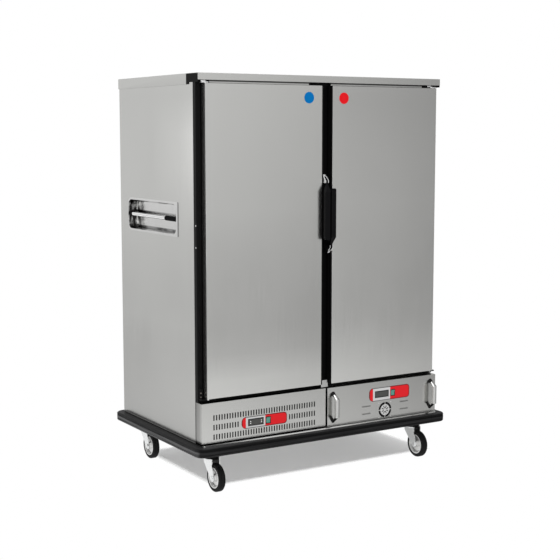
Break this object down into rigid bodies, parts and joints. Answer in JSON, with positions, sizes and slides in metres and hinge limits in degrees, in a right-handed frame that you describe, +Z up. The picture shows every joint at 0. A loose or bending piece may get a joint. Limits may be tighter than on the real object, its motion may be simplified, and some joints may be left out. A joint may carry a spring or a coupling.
{
  "type": "heated banquet trolley",
  "caption": "Two-door insulated banquet trolley with a cold bay over a slotted cooling fascia, a hot bay over a pull-out heater drawer, a bumpered base and swivel casters.",
  "frame": {"origin": "on the floor under the middle of the bumper", "axes": "+X to the right seen from the front, +Y to the back, +Z up"},
  "size_m": [1.336, 0.8756, 1.8],
  "materials": {
    "steel_outer": "satin",
    "steel_fascia": "satin",
    "steel_inside": "satin",
    "base_steel": "satin",
    "polished_steel": "polished",
    "chrome": "polished",
    "black_frame": "satin",
    "black_moulding": "satin",
    "black_lever": "gloss",
    "bumper_black": "satin",
    "foam": "matte",
    "overlay_red": "gloss",
    "module_black": "satin",
    "rocker_green": "gloss",
    "machine_black": "satin",
    "coil_aluminium": "satin",
    "fan_black": "matte",
    "grip_aluminium": "satin",
    "heater_steel": "satin",
    "seal_grey": "matte",
    "zinc": "satin",
    "rim_grey": "satin",
    "tyre_black": "matte"
  },
  "bodies": {
    "cabinet": {"base_tray": "base_steel", "bumper_rails": "bumper_black", "side_panels": "steel_outer", "back_panel": "steel_outer", "lid": "steel_outer", "lid_corner_caps": "black_moulding", "front_frame": "black_frame", "insulation": "foam", "liners": "steel_inside", "rack_ladders": "steel_inside", "grip_dishes": "polished_steel", "grip_bars": "chrome", "grip_bushes": "black_moulding", "cold_fascia": "steel_fascia", "cold_overlay": "overlay_red", "cold_control_module": "module_black", "compressor": "machine_black", "condenser": "coil_aluminium", "evaporator_cover": "steel_inside", "mains_gland": "black_moulding", "hinge_brackets": "chrome", "mullion_keepers": "chrome", "caster_plates": "zinc"},
    "left_door": {"left_door_skin": "steel_outer", "left_door_inner_pan": "steel_inside", "left_door_gasket": "seal_grey", "left_door_edge_profile": "black_frame", "left_latch_bracket": "chrome"},
    "left_latch": {"left_latch_lever": "black_lever"},
    "right_door": {"right_door_skin": "steel_outer", "right_door_inner_pan": "steel_inside", "right_door_gasket": "seal_grey", "right_door_edge_profile": "black_frame", "right_latch_bracket": "chrome"},
    "right_latch": {"right_latch_lever": "black_lever"},
    "heater_drawer": {"drawer_front": "steel_fascia", "drawer_box": "steel_inside", "handle_grips": "grip_aluminium", "handle_feet": "black_lever", "hot_overlay": "overlay_red", "hot_control_module": "module_black", "heating_element": "heater_steel", "drawer_fan_frame": "fan_black"},
    "cold_switch": {"cold_rocker": "rocker_green"},
    "hot_switch": {"hot_rocker": "rocker_green"},
    "condenser_fan": {"condenser_fan_rotor": "fan_black"},
    "evaporator_fan": {"evaporator_fan_rotor": "fan_black"},
    "drawer_fan": {"drawer_fan_rotor": "fan_black"},
    "front_left_swivel": {"front_left_fork": "zinc"},
    "front_left_wheel": {"front_left_rim": "rim_grey", "front_left_tyre": "tyre_black"},
    "front_right_swivel": {"front_right_fork": "zinc"},
    "front_right_wheel": {"front_right_rim": "rim_grey", "front_right_tyre": "tyre_black"},
    "back_left_swivel": {"back_left_fork": "zinc"},
    "back_left_wheel": {"back_left_rim": "rim_grey", "back_left_tyre": "tyre_black"},
    "back_right_swivel": {"back_right_fork": "zinc"},
    "back_right_wheel": {"back_right_rim": "rim_grey", "back_right_tyre": "tyre_black"}
  },
  "joints": [
    {"name": "left_door_hinge", "type": "hinge", "parent": "cabinet", "child": "left_door", "pos_m": [-0.597, -0.38025, 0.431], "axis": [0, 0, -1], "range_deg": [0, 180]},
    {"name": "left_latch_pivot", "type": "hinge", "parent": "left_door", "child": "left_latch", "pos_m": [-0.0125, -0.40675, 1.345], "axis": [-1, 0, 0], "range_deg": [0, 35], "stiffness_Nm_per_rad": 1, "springref_deg": -14.9},
    {"name": "right_door_hinge", "type": "hinge", "parent": "cabinet", "child": "right_door", "pos_m": [0.597, -0.38025, 0.431], "axis": [0, 0, 1], "range_deg": [0, 180]},
    {"name": "right_latch_pivot", "type": "hinge", "parent": "right_door", "child": "right_latch", "pos_m": [0.0125, -0.40675, 1.049], "axis": [1, 0, 0], "range_deg": [0, 35], "stiffness_Nm_per_rad": 1, "springref_deg": -14.9},
    {"name": "heater_drawer_slide", "type": "slide", "parent": "cabinet", "child": "heater_drawer", "axis": [0, -1, 0], "range_m": [0, 0.45]},
    {"name": "cold_switch_rock", "type": "hinge", "parent": "cabinet", "child": "cold_switch", "pos_m": [-0.2999, -0.38575, 0.303], "axis": [-1, 0, 0], "range_deg": [0, 14]},
    {"name": "hot_switch_rock", "type": "hinge", "parent": "heater_drawer", "child": "hot_switch", "pos_m": [0.3754, -0.39175, 0.35], "axis": [-1, 0, 0], "range_deg": [0, 14]},
    {"name": "condenser_fan_spin", "type": "hinge", "parent": "cabinet", "child": "condenser_fan", "pos_m": [-0.4298, -0.24675, 0.304], "axis": [0, 1, 0], "continuous": true},
    {"name": "evaporator_fan_spin", "type": "hinge", "parent": "cabinet", "child": "evaporator_fan", "pos_m": [-0.3125, 0.00975, 1.672], "axis": [0, 0, 1], "continuous": true},
    {"name": "drawer_fan_spin", "type": "hinge", "parent": "heater_drawer", "child": "drawer_fan", "pos_m": [0.3323, -0.37905, 0.273], "axis": [0, 1, 0], "continuous": true},
    {"name": "front_left_swivel", "type": "hinge", "parent": "cabinet", "child": "front_left_swivel", "pos_m": [-0.527, -0.285, 0.1437], "axis": [0, 0, 1], "continuous": true},
    {"name": "front_left_roll", "type": "hinge", "parent": "front_left_swivel", "child": "front_left_wheel", "pos_m": [-0.527, -0.325, 0.0625], "axis": [1, 0, 0], "continuous": true},
    {"name": "front_right_swivel", "type": "hinge", "parent": "cabinet", "child": "front_right_swivel", "pos_m": [0.58, -0.285, 0.1437], "axis": [0, 0, 1], "continuous": true},
    {"name": "front_right_roll", "type": "hinge", "parent": "front_right_swivel", "child": "front_right_wheel", "pos_m": [0.58, -0.325, 0.0625], "axis": [1, 0, 0], "continuous": true},
    {"name": "back_left_swivel", "type": "hinge", "parent": "cabinet", "child": "back_left_swivel", "pos_m": [-0.527, 0.363, 0.1437], "axis": [0, 0, 1], "continuous": true},
    {"name": "back_left_roll", "type": "hinge", "parent": "back_left_swivel", "child": "back_left_wheel", "pos_m": [-0.527, 0.323, 0.0625], "axis": [1, 0, 0], "continuous": true},
    {"name": "back_right_swivel", "type": "hinge", "parent": "cabinet", "child": "back_right_swivel", "pos_m": [0.58, 0.363, 0.1437], "axis": [0, 0, 1], "continuous": true},
    {"name": "back_right_roll", "type": "hinge", "parent": "back_right_swivel", "child": "back_right_wheel", "pos_m": [0.58, 0.323, 0.0625], "axis": [1, 0, 0], "continuous": true}
  ]
}
